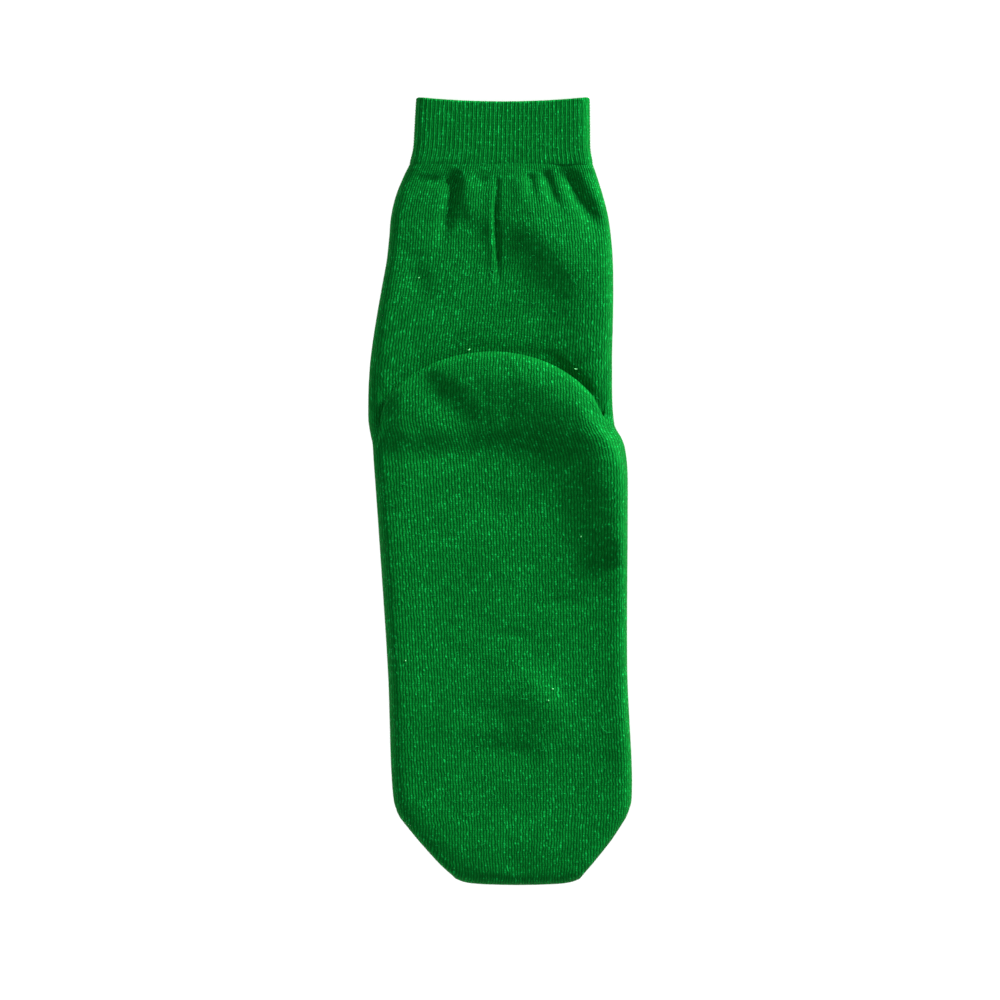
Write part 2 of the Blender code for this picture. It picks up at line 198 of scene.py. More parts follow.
LEG_COURSES = [
    Course("under the heel", "tuck", "ankle", 0.16, 0.62, 0, 1, TUCK_HEIGHT),
    Course("under the heel", "tuck", "ankle", 0.29, 0.32, 0, 1, TUCK_HEIGHT),
    Course("crease", "tuck", "ankle", 0.41, 0.06, 0, 1, TUCK_HEIGHT),
    Course("crease", "tuck", "ankle", 0.49, 0.00, 0, 1, ANKLE_HEIGHT + LAYER_GAP / 2),
    Course("crease", "leg", "ankle", 0.57, 0.06, 0, 1, ANKLE_HEIGHT),
    Course("ankle", "leg", "ankle", 0.68, 0.36, 0, 1, ANKLE_HEIGHT),
    Course("ankle", "leg", "ankle", 0.81, 0.68, 0, 1, ANKLE_HEIGHT),
    Course("ankle", "leg", "ankle", 0.94, 1.00, 0, 1, ANKLE_HEIGHT),
    Course("leg", "leg", "leg", 0.08, 1.24, 0, 0.6, 0.97 * LEG_HEIGHT),
    Course("leg", "leg", "leg", 0.22, 0, 0, 0, 1.00 * LEG_HEIGHT),
    Course("leg", "leg", "leg", 0.36, 0, 0, 0, 1.02 * LEG_HEIGHT),
    Course("leg", "leg", "leg", 0.49, 0, 0, 0, 1.02 * LEG_HEIGHT),
    Course("leg", "leg", "leg", 0.61, 0, 0, 0, 1.02 * LEG_HEIGHT),
    Course("leg", "leg", "leg", 0.73, 0, 0, 0, 1.02 * LEG_HEIGHT),
    Course("gathers", "leg", "leg", 0.84, 0, 0, 0, 1.02 * LEG_HEIGHT),
    Course("gathers", "leg", "leg", 0.93, 0, 0, 0, 0.98 * LEG_HEIGHT),
    Course("below the cuff", "leg", "leg", 0.985, 0, 0, 0, 0.98 * CUFF_HEIGHT),
]
CUFF_COURSES = [
    Course("cuff", "cuff", "cuff", share, 0, 0, 0, CUFF_HEIGHT) for share in (0.0, 0.25, 0.50, 0.75, 1.00)
]
EDGE_TURNS = (90, 45, 0, -45, -90)
EDGE_TOP_SHARE = 0.994
EDGE_UNDER_SHARE = 0.07

# Folds of the back layer, in millimetres. Each rises by so much and fades over so much to its
# left and to its right, as one walks its path. A point of the path is x, y and the share of the rise there.
Fold = namedtuple("Fold", "name layer rise left right path")
FOLDS = (
    # leg
    Fold("pleat lip", "leg", 0.7, 1.3, 2.0, (
        (-3.0, 127, 0.2), (-4.2, 113, 1), (-3.4, 98, 0.8), (-3.0, 91, 0),
    )),
    Fold("pleat", "leg", -1.4, 1.1, 1.1, ((-1.2, 131, 0.6), (-2.3, 118, 1), (-1.2, 101, 1), (-1.0, 88, 0.1))),
    Fold("ridge by the pleat", "leg", 4.1, 15, 11.5, (
        (6, 120, 0.4), (13.5, 113, 0.9), (20.5, 106.5, 1), (27, 99, 1), (32.5, 92.5, 0.8), (35.5, 83, 0.6),
        (35, 70, 0.5), (37, 54, 0.35),
    )),
    Fold("gather 1", "leg", -2.2, 2.2, 3.6, (
        (-19.2, 132, 1), (-20.4, 122, 1), (-22.5, 113, 0.9), (-24.5, 106, 0.3),
    )),
    Fold("puff by gather 1", "leg", 1.1, 4.0, 3.5, ((-13.5, 131, 1), (-13, 120, 0.7))),
    Fold("puff by the pleat", "leg", 1.0, 3.5, 3.5, ((8.5, 130, 1), (8.5, 124, 0.6))),
    Fold("gather 2", "leg", -1.2, 1.7, 2.2, ((12.4, 132, 1), (13.6, 127, 0.8), (15, 122, 0.1))),
    Fold("gather 3", "leg", -1.7, 2.0, 2.6, ((19.6, 133, 1), (22.2, 125, 1), (25.4, 117.5, 0.2))),
    Fold("ridge by gather 3", "leg", 0.8, 2.4, 2.4, ((26.3, 132, 1), (29.5, 122, 0.5))),
    Fold("gather 4", "leg", -2.6, 3.6, 3.6, (
        (27, 134, 0.9), (32, 125, 1), (38.5, 115.5, 0.9), (42, 109, 0.2),
    )),
    Fold("ridge by gather 4", "leg", 0.8, 2.4, 2.4, ((37, 133, 1), (41, 123, 0.3))),
    Fold("gather 5", "leg", -1.1, 1.6, 1.8, ((37.6, 134, 1), (39.8, 128.5, 0.3))),
    Fold("left tuck", "leg", -1.0, 1.8, 2.4, ((-33, 131, 0.6), (-28, 131, 1), (-23.5, 131, 0.8))),
    Fold("middle tuck", "leg", -0.8, 1.6, 2.2, ((-11, 131, 0.7), (-7.5, 131, 1), (-5, 131, 0.3))),
    Fold("slack left of the pleat", "leg", 0.9, 5, 5, ((-12, 117, 1), (-8, 116, 1))),
    Fold("left hollow", "leg", -1.2, 5, 7, ((-38, 99, 0.5), (-35, 90, 1), (-31.5, 82, 0.4))),
    # heel
    Fold("dimple", "sole", -2.1, 5, 8, ((-34, 51, 0.8), (-24.5, 41, 1), (-14, 31, 0.6))),
    Fold("swell inside the rim", "sole", 3.8, 9, 19, (
        (-20, 44, 0.3), (-6, 47, 0.5), (8, 46, 0.8), (19, 42, 1), (29, 35.5, 1), (36, 28, 0.7), (41, 19, 0.3),
    )),
    Fold("foot of the step", "sole", -1.2, 6, 7, (
        (-47, 16, 0.7), (-20, 17.5, 1), (5, 18.5, 1), (14, 19, 0.6),
    )),
    Fold("right roll", "sole", 7.8, 4, 18, (
        (33, 34, 0.1), (40, 27, 0.4), (47, 17, 0.8), (51.5, 7, 1), (54, -4, 1), (55, -14, 1),
        (55.5, -21, 0.85), (55.5, -32, 0.15),
    )),
    # sole
    Fold("right side roll", "sole", 1.8, 3.0, 9, (
        (54.5, -22, 0.8), (54.5, -60, 1), (54.5, -90, 1), (55, -112, 0.8), (54, -124, 0),
    )),
    Fold("left side roll", "sole", 1.1, 14, 5, (
        (-47, 5, 0.3), (-46.5, -20, 1), (-45, -50, 1), (-43, -90, 1), (-41.5, -118, 0.4),
    )),
    Fold("small bump", "sole", 2.3, 6.5, 15, ((15.5, -84.5, 1), (18, -87, 1))),
    Fold("sag of the ball", "sole", -0.9, 5, 6, (
        (-14, -108, 0.4), (-4, -108.5, 1), (10, -109.5, 1), (18, -110, 0.3),
    )),
    Fold("sag of the arch", "sole", -0.6, 4, 5, ((-12, -93, 0.5), (-4, -92, 1), (4, -92, 0.4))),
    Fold("sag before the heel", "sole", -0.6, 6, 7, ((-14, -6, 0.4), (0, -5, 1), (12, -6, 0.4))),
    Fold("wrinkle 1", "sole", -0.4, 3, 4, ((3, -30.5, 0.2), (11, -30, 1), (19, -30, 0.2))),
    Fold("wrinkle 2", "sole", -0.5, 3, 4, ((20, -46, 0.2), (30, -46, 1), (38, -46.5, 0.3))),
    Fold("wrinkle 3", "sole", -0.4, 3, 4, ((0, -60.5, 0.2), (8, -60.5, 1), (15, -60, 0.2))),
    Fold("wrinkle 4", "sole", -0.5, 3, 4, ((24, -109.5, 0.3), (31, -109.5, 1), (38, -109, 0.3))),
    Fold("toe ridge", "sole", 1.0, 13, 6, (
        (-39, -124, 0.2), (-35, -132, 1), (-20, -148, 1), (-10, -156, 0.6),
    )),
    Fold("toe swell", "sole", 0.9, 9, 8, ((-4, -148, 0.6), (14, -148, 1), (28, -145, 0.5))),
)

# Folds grow to their full rise over this much of the cloth from the toe's end and the heel's rim, and the
# cuff holds down this share of those below it
FOLD_FADE = 0.006
CUFF_HOLD = 0.65

# The slight waviness of slack knit: its rise in millimetres, and its turns a metre each way
Wave = namedtuple("Wave", "rise across along up start")
WAVES = (Wave(0.22, 70, 90, 30, 0.0), Wave(0.12, 150, 290, 0, 5.0))


def smooth(value, low, high):
    """0 up to low and 1 from high on, with an even rise between."""
    share = np.clip((value - low) / (high - low), 0.0, 1.0)
    return share * share * (3.0 - 2.0 * share)


def station(zone, share):
    low, high = ZONES[zone]
    return low + share * (high - low)


def curve_at(place, places, values):
    """A smooth curve through the values, level beyond the ends."""
    places, values = np.array(places), np.array(values)
    place = np.clip(place, places[0], places[-1])
    index = np.clip(np.searchsorted(places, place, side="right") - 1, 0, len(places) - 2)
    before, after = np.maximum(index - 1, 0), np.minimum(index + 2, len(places) - 1)
    span = places[index + 1] - places[index]
    t = (place - places[index]) / span
    rise = values[index + 1] - values[index]
    slope_in = (values[index + 1] - values[before]) / (places[index + 1] - places[before])
    slope_out = (values[after] - values[index]) / (places[after] - places[index])
    bend = (slope_in * span - rise) * (1.0 - t) - (slope_out * span - rise) * t
    return values[index] + rise * t + t * (1.0 - t) * bend


def outline_at(along):
    """The middle and half width of the sock's outline at places along it."""
    stations = [station(row.zone, row.share) for row in OUTLINE]
    middle = curve_at(along, stations, [row.lean for row in OUTLINE])
    half = curve_at(along, stations, [row.width / 2 for row in OUTLINE])
    return middle, half


def crown(across):
    """The height of the slack tube from side fold to side fold, as a share of its height in the middle."""
    return np.sqrt(np.maximum(0.0, 1.0 - np.abs(across) ** EDGE_POWER))


def heel_arc(across):
    return np.sqrt(np.maximum(0.0, 1.0 - across * across))


def heel_fullness(across):
    """The thickness of the folded heel, as a share of its thickness in the middle."""
    return 1.0 - (1.0 - HEEL_END_SHARE) * smooth(np.abs(across), HEEL_END_FADE, 1.0)


def heel_edge_radius(across):
    radius = (HEEL_HEIGHT - TUCK_HEIGHT) / 2 * crown(across) * heel_fullness(across)
    slope = HEEL_DROP / (HEEL_WIDTH / 2) * across / np.maximum(heel_arc(across), EDGE_ARC_LEAST)
    return radius * np.hypot(1.0, slope)


def side_lift(front, across):
    """How far courses near the heel are drawn up the right side."""
    away = (front - HEEL_SIDE) / HEEL_SIDE_LIFT_SPREAD
    return HEEL_SIDE_LIFT * math.exp(-away * away) * smooth(across, HEEL_SIDE_LIFT_FROM, 1.0)


def toe_bow(course, across):
    """How far a course of the toe draws back towards its sides, most of it at the corners."""
    if course.zone != "toe":
        return 0.0
    bow = (1.0 - TOE_CORNER_SHARE) * across**2 + TOE_CORNER_SHARE * np.abs(across) ** TOE_CORNER_POWER
    return TOE_BOW * bow * (1.0 - course.share)


def back_line(course, across):
    """One course of the back layer, from side to side."""
    front = station(course.zone, course.share)
    toe_rise = crown(max(0.0, 1.0 - front / (FOOT_WIDTH / 2)))
    front = front + side_lift(front, across)
    arc = heel_arc(across)
    crease = HEEL_SIDE + (HEEL_DROP - HEEL_OVERLAP) * arc
    overlap = HEEL_OVERLAP * (arc if course.reach > 0 else 1.0)
    folded = crease + course.reach * overlap - course.turn * heel_edge_radius(across)
    share = course.shear * (1.0 - smooth(np.abs(across), SIDE_FADE, 1.0))
    along = front + share * (folded - front) + toe_bow(course, across)
    middle, half = outline_at(along)
    above_tuck = course.shear * np.maximum(0.0, course.height - TUCK_HEIGHT)
    top = course.height - above_tuck * (1.0 - heel_fullness(across))
    height = EDGE_RADIUS + (top - EDGE_RADIUS) * crown(across) * toe_rise
    return middle + half * across, along, height


def floor_line(course, across):
    """One course of the instep or shin, flat on the floor and rounded up at the side folds."""
    front = station(course.zone, course.share)
    along = front + side_lift(front, across) + toe_bow(course, across)
    middle, half = outline_at(along)
    side = np.maximum(0.0, 1.0 - (half - np.abs(half * across)) / EDGE_RADIUS)
    end = max(0.0, 1.0 - front / EDGE_RADIUS)
    turn = np.minimum(1.0, np.hypot(side, end))
    height = EDGE_RADIUS * (1.0 - np.sqrt(1.0 - turn * turn))
    if course.name == "seam groove":
        height = np.maximum(height, GROOVE_DEPTH)
    return middle + half * across, along, height


def heel_edge_courses():
    """The courses of the heel's rim, which turn under from its top to its underside."""
    courses = []
    for degrees in EDGE_TURNS:
        angle = math.radians(degrees)
        turn = 1.0 - math.cos(angle)
        height = TUCK_HEIGHT + (HEEL_HEIGHT - TUCK_HEIGHT) * (0.5 + 0.5 * math.sin(angle))
        if degrees >= 0:
            zone, share = "foot", 1.0 - turn * (1.0 - EDGE_TOP_SHARE)
        else:
            zone, share = "ankle", turn * EDGE_UNDER_SHARE
        courses.append(Course("heel edge", "tuck", zone, share, 1, turn, 1, height))
    return courses


def girth_shares(columns):
    """Where columns stand from side fold (-1) to side fold (1), even along the girth of the slack foot."""
    fine = -np.cos(np.linspace(0.0, math.pi, 4001))
    girth = np.hypot(np.diff(fine) * FOOT_WIDTH / 2, np.diff(crown(fine)) * (FOOT_HEIGHT - EDGE_RADIUS))
    travelled = np.concatenate([[0.0], np.cumsum(girth)])
    return np.interp(np.linspace(0.0, travelled[-1], columns + 1), travelled, fine)


def net_of(courses, net):
    """The courses' points, [course, column, xyz]. Columns run over the back and home along the floor."""
    over = girth_shares(net.over)
    under = -girth_shares(net.under)[1:]
    points = []
    for course in courses:
        back, floor = back_line(course, over), floor_line(course, under)
        x, along, z = (
            np.concatenate([np.broadcast_to(above, over.shape), np.broadcast_to(below, under.shape)])
            for above, below in zip(back, floor)
        )
        if course.layer == "cuff":
            across = np.concatenate([over, under])
            along = along - CUFF_DIP * course.share * (1.0 - across * across)
        points.append(np.stack([x, along - TOTAL_LENGTH / 2, z], axis=1))
    return np.array(points)


def along_wales(net, pitch):
    """Rows about one pitch apart on smooth curves through the net, and each row's place among the courses."""
    spans = np.maximum(np.linalg.norm(np.diff(net, axis=0), axis=2), 1e-7)[:, :, None]
    tangents = np.empty_like(net)
    tangents[1:-1] = (net[2:] - net[:-2]) / (spans[1:] + spans[:-1])
    tangents[0] = (net[1] - net[0]) / spans[0]
    tangents[-1] = (net[-1] - net[-2]) / spans[-1]
    rows, places = [], []
    for k, span in enumerate(spans):
        steps = max(1, round(float(span.max()) / pitch))
        for t in np.arange(steps) / steps:
            rise = net[k + 1] - net[k]
            bend = (tangents[k] * span - rise) * (1.0 - t) - (tangents[k + 1] * span - rise) * t
            rows.append(net[k] + rise * t + t * (1.0 - t) * bend)
            places.append(k + t)
    rows.append(net[-1])
    places.append(len(net) - 1.0)
    rows = np.array(rows)
    rows[:, :, 2] = np.maximum(rows[:, :, 2], 0.0)
    return rows, np.array(places)


def fold_height(fold, x, y):
    """The rise of one fold at points of the plan, all in millimetres."""
    nearest = np.full(x.shape, np.inf)
    spread = np.ones(x.shape)
    strength = np.zeros(x.shape)
    for (x0, y0, share0), (x1, y1, share1) in zip(fold.path, fold.path[1:]):
        run_x, run_y = x1 - x0, y1 - y0
        t = np.clip(((x - x0) * run_x + (y - y0) * run_y) / (run_x**2 + run_y**2), 0.0, 1.0)
        off_x, off_y = x - x0 - t * run_x, y - y0 - t * run_y
        away = np.hypot(off_x, off_y)
        leftward = (run_x * off_y - run_y * off_x) / (math.hypot(run_x, run_y) * np.maximum(away, 1e-6))
        closer = away < nearest
        nearest = np.where(closer, away, nearest)
        spread = np.where(closer, fold.right + (fold.left - fold.right) * (0.5 + 0.5 * leftward), spread)
        strength = np.where(closer, share0 + t * (share1 - share0), strength)
    return fold.rise * strength * np.exp(-((nearest / spread) ** 2))


def relief(points, layer):
    """Every fold of one layer together, as a rise in metres."""
    x, y = points[..., 0] / MM, points[..., 1] / MM
    rise = np.zeros(x.shape)
    for fold in FOLDS:
        if fold.layer == layer:
            rise += fold_height(fold, x, y)
    return rise * MM


def unevenness(points):
    """The slight waviness of slack knit, in metres."""
    rise = np.zeros(points.shape[:-1])
    for wave in WAVES:
        places = points * (wave.across, wave.along, wave.up) + (0.0, 0.0, wave.start)
        values = [noise.noise(Vector(place)) for place in places.reshape(-1, 3)]
        rise += wave.rise * np.array(values).reshape(rise.shape)
    return rise * MM


CUFF_LAP_COURSE = Course("under the cuff", "leg", "cuff", CUFF_LAP / CUFF_LENGTH, 0, 0, 0, 0.96 * CUFF_HEIGHT)
BODY_COURSES = [
    *TOE_COURSES, *SEAM_COURSES, *FOOT_COURSES, *heel_edge_courses(), *LEG_COURSES, CUFF_LAP_COURSE,
]
COURSE_NAMES = [course.name for course in BODY_COURSES]
EDGE_TOP = COURSE_NAMES.index("heel edge")
EDGE_UNDER = EDGE_TOP + COURSE_NAMES.count("heel edge") - 1
CREASE = COURSE_NAMES.index("crease") + COURSE_NAMES.count("crease") - 1
CUFF_START = FOOT_LENGTH + LEG_LENGTH - TOTAL_LENGTH / 2


def folded(rows, places, net):
    """How far each point of the back layer rises with the folds, in metres."""
    over = girth_shares(net.over)[1:-1]
    back = rows[:, 1:net.over]
    place = places[:, None]
    on_sole = smooth(back[..., 1] + TOTAL_LENGTH / 2, 0.0, FOLD_FADE)
    on_sole *= 1.0 - smooth(place, EDGE_TOP + 0.5, EDGE_UNDER - 1.0)
    rim = HEEL_SIDE + HEEL_DROP * heel_arc(over)[None, :] - TOTAL_LENGTH / 2
    on_leg = smooth(back[..., 1] - rim, 0.0, FOLD_FADE) * (place > CREASE)
    on_leg *= 1.0 - CUFF_HOLD * smooth(back[..., 1], CUFF_START - FOLD_FADE, CUFF_START)
    rise = relief(back, "sole") * on_sole + relief(back, "leg") * on_leg
    return (rise + unevenness(back) * (on_sole + on_leg)) * crown(over)[None, :]


def normals_of(rows):
    """The outward direction at each point of a net whose columns close round the sock."""
    ring = rows[:, :-1]
    round_it = np.roll(ring, -1, axis=1) - np.roll(ring, 1, axis=1)
    along = np.gradient(ring, axis=0)
    normal = np.cross(round_it, along)
    normal /= np.maximum(np.linalg.norm(normal, axis=2, keepdims=True), 1e-12)
    return np.concatenate([normal, normal[:, :1]], axis=1)


def wales_of(net):
    """The wale at each column of a net: half of them over the back, the rest along the floor."""
    over = np.linspace(0.0, HALF_WALES, net.over + 1)
    under = np.linspace(HALF_WALES, WALES, net.under + 1)[1:]
    return np.concatenate([over, under])


def grid_of(bm, rows, over_columns, uv_at, flip=False):
    """A grid laid on the net, its seams merged, with the knit's own UV map in wales and courses."""
    uv_layer = bm.loops.layers.uv.verify()
    columns = rows.shape[1] - 1
    made = bmesh.ops.create_grid(bm, x_segments=columns, y_segments=len(rows) - 1, size=0.5)["verts"]
    cell = {}
    for vert in made:
        cell[vert] = (round((vert.co.x + 0.5) * columns), round((vert.co.y + 0.5) * (len(rows) - 1)))
    faces = {face for vert in made for face in vert.link_faces}
    for face in faces:
        first = min(cell[vert][0] for vert in face.verts)
        for loop in face.loops:
            column, row = cell[loop.vert]
            loop[uv_layer].uv = uv_at(column, row, first < over_columns)
    for vert, (column, row) in cell.items():
        vert.co = rows[row, column]
    if flip:
        bmesh.ops.reverse_faces(bm, faces=list(faces))
    bmesh.ops.remove_doubles(bm, verts=made, dist=1e-6)


def piece_from(bm, name, material):
    mesh = bpy.data.meshes.new(name)
    bm.to_mesh(mesh)
    bm.free()
    mesh.uv_layers[0].name = "knit"
    mesh.shade_smooth()
    mesh.materials.append(material)
    piece = bpy.data.objects.new(name, mesh)
    bpy.context.scene.collection.objects.link(piece)
    return piece


def body_uv(rows, net):
    """UVs in wales and courses. At the toe the wales run straight and end at its slanted sides."""
    steps = np.linalg.norm(np.diff(rows[:, net.over // 2], axis=0), axis=1)
    courses = np.concatenate([[0.0], np.cumsum(steps)]) / COURSE_PITCH
    along = np.clip(rows[:, 0, 1] + TOTAL_LENGTH / 2, 0.0, TOE_LENGTH)
    middle, half = outline_at(along)
    root_middle, root_half = outline_at(np.array([TOE_LENGTH]))
    narrow = half / root_half
    lean = (middle - root_middle) / (2 * root_half) * HALF_WALES
    wales = wales_of(net)

    def uv_at(column, row, over):
        centre = HALF_WALES / 2 if over else HALF_WALES * 1.5
        sign = 1 if over else -1
        wale = centre + (wales[column] - centre) * narrow[row] + sign * lean[row]
        return wale, courses[row]

    return uv_at


def make_body(material):
    """Leg, heel, foot and toe: the knit's outer face, and its inner face one wall inside."""
    bm = bmesh.new()
    rows, places = along_wales(net_of(BODY_COURSES, KNIT_NET), KNIT_NET.pitch)
    rows[:, 1:KNIT_NET.over, 2] += folded(rows, places, KNIT_NET)
    grid_of(bm, rows, KNIT_NET.over, body_uv(rows, KNIT_NET))
    lining, places = along_wales(net_of(BODY_COURSES, LINING_NET), LINING_NET.pitch)
    rise = folded(lining, places, LINING_NET)
    uv_at = body_uv(lining, LINING_NET)
    inward = -normals_of(lining)
    inward[0] = (0.0, 1.0, 0.0)
    lining = lining + inward * WALL
    lining[:, 1:LINING_NET.over, 2] += rise
    grid_of(bm, lining, LINING_NET.over, uv_at, flip=True)
    bmesh.ops.bridge_loops(bm, edges=[edge for edge in bm.edges if edge.is_boundary])
    return piece_from(bm, "knit_leg_and_foot", material)


def make_cuff(material):
    """The 1x1 rib cuff: ribs outside and inside, rolled at the lip, lapping over the top of the leg."""
    rows, _ = along_wales(net_of(CUFF_COURSES, RIB_NET), RIB_NET.pitch)
    normal = normals_of(rows)
    middle_column = RIB_NET.over // 2
    steps = np.linalg.norm(np.diff(rows[:, middle_column], axis=0), axis=1)
    along = np.concatenate([[0.0], np.cumsum(steps)])
    wale = wales_of(RIB_NET)
    rib = 0.5 + 0.5 * np.cos(np.pi * wale)
    course = 0.5 + 0.5 * np.cos(np.pi * np.arange(len(rows)))
    stitch = 1.0 - RIB_STITCH_SHARE * (1.0 - course)
    rise = RIB_RISE * (rib[None, :] * stitch[:, None] - 0.5)
    fade = smooth(along, 0.0, RIB_FADE)[:, None]
    outside = rows + normal * (rise * fade - RIB_SINK * (1.0 - fade))[..., None]
    inside = rows - normal * (CUFF_WALL - rise * fade)[..., None]
    lip = []
    middle, reach = (outside[-1] + inside[-1]) / 2, (outside[-1] - inside[-1]) / 2
    for turn in np.linspace(0.0, math.pi, LIP_ROWS + 2)[1:-1]:
        forward = np.array([0.0, 1.0, 0.0]) * CUFF_WALL * LIP_FULLNESS * math.sin(turn)
        lip.append(middle + reach * math.cos(turn) + forward)
    lap = np.concatenate([outside, np.array(lip), inside[::-1], outside[:1]])
    path = np.linalg.norm(np.diff(lap[:, middle_column], axis=0), axis=1)
    courses = np.concatenate([[0.0], np.cumsum(path)]) / RIB_COURSE_PITCH
    lap[..., 2] = np.maximum(lap[..., 2], 0.0)
    bm = bmesh.new()
    grid_of(bm, lap, RIB_NET.over, lambda column, row, over: (wale[column], courses[row]))
    return piece_from(bm, "rib_cuff", material)


# Fibres that stand out of the yarn, and specks of lint, in millimetres and degrees on the plan
Fibre = namedtuple("Fibre", "x y length heading curl")
FIBRES = (
    Fibre(10.9, 141.8, 3.4, 65, 110),
    Fibre(-4.0, 93.0, 5.2, 20, 330),
    Fibre(10.6, 108.6, 3.0, -20, -170),
    Fibre(42.4, -97.6, 6.0, -40, 90),
    Fibre(-10.2, -108.6, 3.4, 60, -190),
    Fibre(16.8, -108.2, 3.2, 30, 160),
    Fibre(-13.4, -74.2, 3.2, -60, 200),
    Fibre(-3.4, -128.0, 3.0, 10, -220),
    Fibre(-6.4, -120.6, 2.6, 80, 180),
    Fibre(20.2, -152.0, 2.6, 50, 140),
)
LINT = (
    Fibre(-13.4, 59.9, 1.0, 10, 160),
    Fibre(31.4, 52.0, 1.1, -20, 120),
    Fibre(20.2, -87.5, 0.9, 70, 300),
    Fibre(33.8, -18.7, 0.5, 30, 200),
    Fibre(22.0, -82.5, 0.5, 0, 200),
    Fibre(-39.8, -70.8, 0.5, 50, 200),
    Fibre(-34.3, 90.1, 0.5, 20, 200),
)
FIBRE_RADIUS = 0.00008
FIBRE_STEPS = 13
FIBRE_LIFT = 0.00035
LINT_RADIUS = 0.00020
LINT_STEPS = 5
FUZZ_COUNT = 320
FUZZ_SEED = 5
FUZZ_RADIUS = 0.00006
FUZZ_STEPS = 6
FUZZ_LENGTHS = (0.8, 2.4)
FUZZ_CURL = 220

# The linking chain: half of each loop's width, length and rise, and the thread that it is made of
LINKING_STITCHES = 72
LINKING_STEPS = 4
LINKING_LOOP = (0.00012, 0.00014, 0.00006)
LINKING_RADIUS = 0.00022


def surface_of(*pieces):
    """A function that gives the height of the pieces' top at a place of the plan, or None beside them."""
    trees = []
    for piece in pieces:
        mesh = piece.data
        corners = [vert.co.copy() for vert in mesh.vertices]
        trees.append(BVHTree.FromPolygons(corners, [tuple(polygon.vertices) for polygon in mesh.polygons]))
    above, down = 2 * TOTAL_LENGTH, Vector((0.0, 0.0, -1.0))

    def height(x, y):
        hits = [tree.ray_cast(Vector((x, y, above)), down)[0] for tree in trees]
        return max((hit.z for hit in hits if hit is not None), default=None)

    return height


def fibre_points(fibre, height, radius, steps):
    """One fibre that curls over the plan and lies on the knit, its middle raised; nothing beside the sock."""
    step = fibre.length * MM / (steps - 1)
    heading = math.radians(fibre.heading - fibre.curl / 2)
    x, y = fibre.x * MM, fibre.y * MM
    points = []
    for i in range(steps):
        z = height(x, y)
        if z is None:
            return []
        lift = FIBRE_LIFT * math.sin(math.pi * i / (steps - 1))
        points.append((x, y, z + radius / 2 + lift))
        heading += math.radians(fibre.curl) / (steps - 1)
        x += step * math.cos(heading)
        y += step * math.sin(heading)
    return points


def make_threads(name, paths, radius, material, roundness=0):
    """A piece of round threads, one along each path."""
    curve = bpy.data.curves.new(name, "CURVE")
    curve.dimensions = "3D"
    curve.bevel_depth = radius
    curve.bevel_resolution = roundness
    curve.use_fill_caps = True
    for path in paths:
        spline = curve.splines.new("POLY")
        spline.points.add(len(path) - 1)
        for point, place in zip(spline.points, path):
            point.co = (*place, 1.0)
    curve.materials.append(material)
    piece = bpy.data.objects.new(name, curve)
    bpy.context.scene.collection.objects.link(piece)
    return piece


def make_fibres(name, fibres, height, radius, steps, material):
    paths = [fibre_points(fibre, height, radius, steps) for fibre in fibres]
    return make_threads(name, [path for path in paths if path], radius, material)


def fuzz():
    """Short fibres scattered over the sock's top."""
    rng = random.Random(FUZZ_SEED)
    reach_x, reach_y = HEEL_WIDTH / 2 / MM, TOTAL_LENGTH / 2 / MM
    fibres = []
    for _ in range(FUZZ_COUNT):
        x, y = rng.uniform(-reach_x, reach_x), rng.uniform(-reach_y, reach_y)
        length, heading = rng.uniform(*FUZZ_LENGTHS), rng.uniform(0, 360)
        fibres.append(Fibre(x, y, length, heading, rng.uniform(-FUZZ_CURL, FUZZ_CURL)))
    return fibres


def make_seam(material):
    """The linking stitches that close the toe, a chain of small loops in their groove under the instep."""
    middle, half = outline_at(np.array([SEAM_SETBACK]))
    reach = float(half[0]) - 2 * EDGE_RADIUS
    centre = Vector((float(middle[0]) - SHIFT, SEAM_SETBACK - TOTAL_LENGTH / 2, SEAM_THREAD / 2))
    across, along, up = LINKING_LOOP
    steps = LINKING_STITCHES * LINKING_STEPS
    path = []
    for i in range(steps + 1):
        turn = 2 * math.pi * i / LINKING_STEPS
        x = (2 * i / steps - 1) * reach + across * math.sin(turn)
        path.append(centre + Vector((x, along * math.cos(turn), up * math.sin(2 * turn))))
    return make_threads("toe_linking_stitches", [path], LINKING_RADIUS, material, roundness=1)


# The sock's outline stands with its middle over the frame's origin, as the solid's does
plain_net = net_of(BODY_COURSES, LINING_NET)
SHIFT = float(plain_net[..., 0].min() + plain_net[..., 0].max()) / 2


